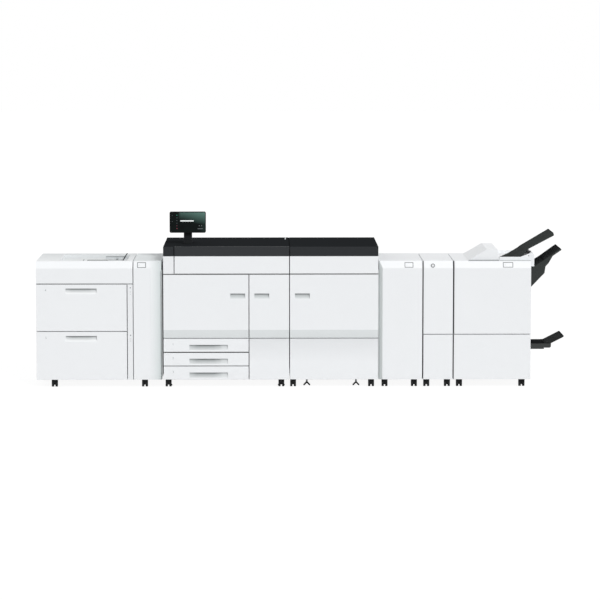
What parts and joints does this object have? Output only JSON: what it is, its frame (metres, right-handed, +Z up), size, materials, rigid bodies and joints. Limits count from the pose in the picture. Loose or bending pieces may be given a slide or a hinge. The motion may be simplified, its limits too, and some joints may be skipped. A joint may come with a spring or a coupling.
{
  "type": "digital production printer",
  "caption": "Digital production printer line with a sheet feeder, print engine, touch console and finishing cabinets.",
  "frame": {"origin": "centre of the line's length and of the engine's depth, on the floor", "axes": "+X along the line from the feeder to the finisher, -Y towards the operator at the front, +Z up"},
  "size_m": [4.181, 0.9, 1.375],
  "materials": {
    "white_panel": "satin",
    "steel_cabinet": "satin",
    "black_plastic": "satin",
    "bright_steel": "brushed",
    "dark_rubber": "matte",
    "coated_aluminium": "gloss",
    "screen_glass": "gloss",
    "caster_black": "satin",
    "wheel_tread": "matte"
  },
  "bodies": {
    "frame": {"feeder_frame": "steel_cabinet", "feeder_top_cover": "white_panel", "feed_heads": "black_plastic", "imaging_frame": "steel_cabinet", "imaging_top": "black_plastic", "toner_cartridges": "black_plastic", "transfer_belt": "dark_rubber", "console_post": "black_plastic", "fusing_frame": "steel_cabinet", "fusing_top": "black_plastic", "fixed_panels": "white_panel", "decurler_cabinet": "steel_cabinet", "folder_cabinet": "steel_cabinet", "finisher_cabinet": "steel_cabinet", "tray_bay": "white_panel", "top_tray": "black_plastic", "booklet_tray": "black_plastic", "caster_forks": "caster_black", "levelling_feet": "bright_steel"},
    "upper_drawer": {"upper_drawer": "white_panel"},
    "lower_drawer": {"lower_drawer": "white_panel"},
    "upper_lift_plate": {"upper_lift_plate": "bright_steel"},
    "lower_lift_plate": {"lower_lift_plate": "bright_steel"},
    "bypass_guide_front": {"bypass_guide_front": "black_plastic"},
    "bypass_guide_rear": {"bypass_guide_rear": "black_plastic"},
    "feeder_door": {"feeder_door": "white_panel"},
    "toner_cover": {"toner_cover": "white_panel"},
    "imaging_left_door": {"imaging_left_door": "white_panel"},
    "imaging_right_door": {"imaging_right_door": "white_panel"},
    "tray_1": {"tray_1": "white_panel"},
    "tray_2": {"tray_2": "white_panel"},
    "tray_3": {"tray_3": "white_panel"},
    "drum_1": {"drum_1": "coated_aluminium"},
    "drum_2": {"drum_2": "coated_aluminium"},
    "drum_3": {"drum_3": "coated_aluminium"},
    "drum_4": {"drum_4": "coated_aluminium"},
    "belt_drive_roller": {"belt_drive_roller": "bright_steel"},
    "belt_idle_roller": {"belt_idle_roller": "bright_steel"},
    "console_neck": {"console_neck": "black_plastic"},
    "console": {"console_housing": "black_plastic", "console_screen": "screen_glass"},
    "fusing_door": {"fusing_door": "white_panel"},
    "heat_roll": {"heat_roll": "coated_aluminium"},
    "pressure_roll": {"pressure_roll": "dark_rubber"},
    "decurler_door": {"decurler_door": "white_panel"},
    "decurl_roller_upper": {"decurl_roller_upper": "bright_steel"},
    "decurl_roller_lower": {"decurl_roller_lower": "dark_rubber"},
    "folder_door": {"folder_door": "white_panel"},
    "folder_button": {"folder_button": "black_plastic"},
    "fold_roller_upper": {"fold_roller_upper": "dark_rubber"},
    "fold_roller_lower": {"fold_roller_lower": "dark_rubber"},
    "finisher_door": {"finisher_door": "white_panel"},
    "finisher_hood": {"finisher_hood": "white_panel"},
    "paper_lever": {"paper_lever": "black_plastic"},
    "stacker_tray": {"stacker_tray": "black_plastic"},
    "booklet_flap": {"booklet_flap": "black_plastic"},
    "exit_roller": {"exit_roller": "bright_steel"},
    "front_wheels": {"front_wheels": "wheel_tread"},
    "rear_wheels": {"rear_wheels": "wheel_tread"},
    "engine_rear_wheels": {"engine_rear_wheels": "wheel_tread"}
  },
  "joints": [
    {"name": "lower_drawer_slide", "type": "slide", "parent": "frame", "child": "lower_drawer", "axis": [0, -1, 0], "range_m": [0, 0.56]},
    {"name": "upper_drawer_slide", "type": "slide", "parent": "frame", "child": "upper_drawer", "axis": [0, -1, 0], "range_m": [0, 0.56]},
    {"name": "lower_lift_slide", "type": "slide", "parent": "lower_drawer", "child": "lower_lift_plate", "axis": [0, 0, 1], "range_m": [0, 0.25]},
    {"name": "upper_lift_slide", "type": "slide", "parent": "upper_drawer", "child": "upper_lift_plate", "axis": [0, 0, 1], "range_m": [0, 0.25]},
    {"name": "front_guide_slide", "type": "slide", "parent": "frame", "child": "bypass_guide_front", "axis": [0, 1, 0], "range_m": [0, 0.09]},
    {"name": "rear_guide_slide", "type": "slide", "parent": "frame", "child": "bypass_guide_rear", "axis": [0, -1, 0], "range_m": [0, 0.09]},
    {"name": "feeder_door_hinge", "type": "hinge", "parent": "frame", "child": "feeder_door", "pos_m": [-1.31549, -0.442, 0.502], "axis": [0, 0, -1], "range_deg": [0, 90]},
    {"name": "toner_cover_hinge", "type": "hinge", "parent": "frame", "child": "toner_cover", "pos_m": [-0.54799, -0.442, 0.91], "axis": [1, 0, 0], "range_deg": [0, 75]},
    {"name": "imaging_left_door_hinge", "type": "hinge", "parent": "frame", "child": "imaging_left_door", "pos_m": [-1.08049, -0.442, 0.678], "axis": [0, 0, -1], "range_deg": [0, 90]},
    {"name": "imaging_right_door_hinge", "type": "hinge", "parent": "frame", "child": "imaging_right_door", "pos_m": [-0.10449, -0.442, 0.678], "axis": [0, 0, 1], "range_deg": [0, 90]},
    {"name": "fusing_door_hinge", "type": "hinge", "parent": "frame", "child": "fusing_door", "pos_m": [0.59851, -0.442, 0.678], "axis": [0, 0, 1], "range_deg": [0, 90]},
    {"name": "decurler_door_hinge", "type": "hinge", "parent": "frame", "child": "decurler_door", "pos_m": [0.94651, -0.442, 0.502], "axis": [0, 0, 1], "range_deg": [0, 90]},
    {"name": "folder_door_hinge", "type": "hinge", "parent": "frame", "child": "folder_door", "pos_m": [1.18751, -0.442, 0.6825], "axis": [0, 0, 1], "range_deg": [0, 90]},
    {"name": "finisher_door_hinge", "type": "hinge", "parent": "frame", "child": "finisher_door", "pos_m": [1.80351, -0.442, 0.6825], "axis": [0, 0, 1], "range_deg": [0, 90]},
    {"name": "tray_3_slide", "type": "slide", "parent": "frame", "child": "tray_3", "axis": [0, -1, 0], "range_m": [0, 0.48]},
    {"name": "tray_2_slide", "type": "slide", "parent": "frame", "child": "tray_2", "axis": [0, -1, 0], "range_m": [0, 0.48]},
    {"name": "tray_1_slide", "type": "slide", "parent": "frame", "child": "tray_1", "axis": [0, -1, 0], "range_m": [0, 0.48]},
    {"name": "drum_1_spin", "type": "hinge", "parent": "frame", "child": "drum_1", "pos_m": [-0.97149, -0.114, 0.8119], "axis": [0, 1, 0], "continuous": true},
    {"name": "drum_2_spin", "type": "hinge", "parent": "frame", "child": "drum_2", "pos_m": [-0.84149, -0.114, 0.8119], "axis": [0, 1, 0], "continuous": true},
    {"name": "drum_3_spin", "type": "hinge", "parent": "frame", "child": "drum_3", "pos_m": [-0.71149, -0.114, 0.8119], "axis": [0, 1, 0], "continuous": true},
    {"name": "drum_4_spin", "type": "hinge", "parent": "frame", "child": "drum_4", "pos_m": [-0.58149, -0.114, 0.8119], "axis": [0, 1, 0], "continuous": true},
    {"name": "belt_drive_spin", "type": "hinge", "parent": "frame", "child": "belt_drive_roller", "pos_m": [-0.58149, -0.114, 0.7373], "axis": [0, 1, 0], "continuous": true},
    {"name": "belt_idle_spin", "type": "hinge", "parent": "frame", "child": "belt_idle_roller", "pos_m": [-0.97149, -0.114, 0.7373], "axis": [0, 1, 0], "continuous": true},
    {"name": "heat_roll_spin", "type": "hinge", "parent": "frame", "child": "heat_roll", "pos_m": [0.25801, -0.114, 0.75115], "axis": [0, 1, 0], "continuous": true},
    {"name": "pressure_roll_spin", "type": "hinge", "parent": "frame", "child": "pressure_roll", "pos_m": [0.25801, -0.114, 0.66485], "axis": [0, 1, 0], "continuous": true},
    {"name": "decurl_upper_spin", "type": "hinge", "parent": "frame", "child": "decurl_roller_upper", "pos_m": [0.78351, -0.114, 0.72915], "axis": [0, 1, 0], "continuous": true},
    {"name": "decurl_lower_spin", "type": "hinge", "parent": "frame", "child": "decurl_roller_lower", "pos_m": [0.78351, -0.114, 0.68885], "axis": [0, 1, 0], "continuous": true},
    {"name": "fold_upper_spin", "type": "hinge", "parent": "frame", "child": "fold_roller_upper", "pos_m": [1.07801, -0.114, 0.72915], "axis": [0, 1, 0], "continuous": true},
    {"name": "fold_lower_spin", "type": "hinge", "parent": "frame", "child": "fold_roller_lower", "pos_m": [1.07801, -0.114, 0.68085], "axis": [0, 1, 0], "continuous": true},
    {"name": "exit_roller_spin", "type": "hinge", "parent": "frame", "child": "exit_roller", "pos_m": [1.77651, -0.114, 0.939], "axis": [0, 1, 0], "continuous": true},
    {"name": "console_swivel", "type": "hinge", "parent": "frame", "child": "console_neck", "pos_m": [-0.90047, -0.1535, 1.166], "axis": [0, 0, 1], "range_deg": [-60, 60]},
    {"name": "console_tilt", "type": "hinge", "parent": "console_neck", "child": "console", "pos_m": [-0.90047, -0.1535, 1.291], "axis": [-1, 0, 0], "range_deg": [0, 25]},
    {"name": "folder_button_push", "type": "slide", "parent": "folder_door", "child": "folder_button", "axis": [0, 1, 0], "range_m": [0, 0.003], "stiffness_N_per_m": 600, "springref_m": -0.002},
    {"name": "finisher_hood_hinge", "type": "hinge", "parent": "frame", "child": "finisher_hood", "pos_m": [1.43951, 0.2188, 1.0093], "axis": [-1, 0, 0], "range_deg": [0, 60]},
    {"name": "paper_lever_hinge", "type": "hinge", "parent": "frame", "child": "paper_lever", "pos_m": [1.79651, -0.388, 1.0376], "axis": [0, -1, 0], "range_deg": [0, 25]},
    {"name": "stacker_slide", "type": "slide", "parent": "frame", "child": "stacker_tray", "axis": [0, 0, -1], "range_m": [0, 0.35]},
    {"name": "booklet_flap_hinge", "type": "hinge", "parent": "frame", "child": "booklet_flap", "pos_m": [1.94951, -0.15, 0.31898], "axis": [0, -1, 0], "range_deg": [0, 60]},
    {"name": "front_wheels_roll", "type": "hinge", "parent": "frame", "child": "front_wheels", "pos_m": [0, -0.388, 0.026], "axis": [1, 0, 0], "continuous": true},
    {"name": "rear_wheels_roll", "type": "hinge", "parent": "frame", "child": "rear_wheels", "pos_m": [0, 0.208, 0.026], "axis": [1, 0, 0], "continuous": true},
    {"name": "engine_rear_wheels_roll", "type": "hinge", "parent": "frame", "child": "engine_rear_wheels", "pos_m": [0, 0.388, 0.026], "axis": [1, 0, 0], "continuous": true}
  ],
  "couplings": [
    {"joint": "rear_guide_slide", "follows": "front_guide_slide", "ratio": 1},
    {"joint": "drum_2_spin", "follows": "drum_1_spin", "ratio": 1},
    {"joint": "drum_3_spin", "follows": "drum_1_spin", "ratio": 1},
    {"joint": "drum_4_spin", "follows": "drum_1_spin", "ratio": 1},
    {"joint": "belt_drive_spin", "follows": "drum_1_spin", "ratio": -1.3125},
    {"joint": "belt_idle_spin", "follows": "drum_1_spin", "ratio": -1.3125},
    {"joint": "pressure_roll_spin", "follows": "heat_roll_spin", "ratio": -1.15},
    {"joint": "decurl_lower_spin", "follows": "decurl_upper_spin", "ratio": -1.5},
    {"joint": "fold_lower_spin", "follows": "fold_upper_spin", "ratio": -1}
  ]
}
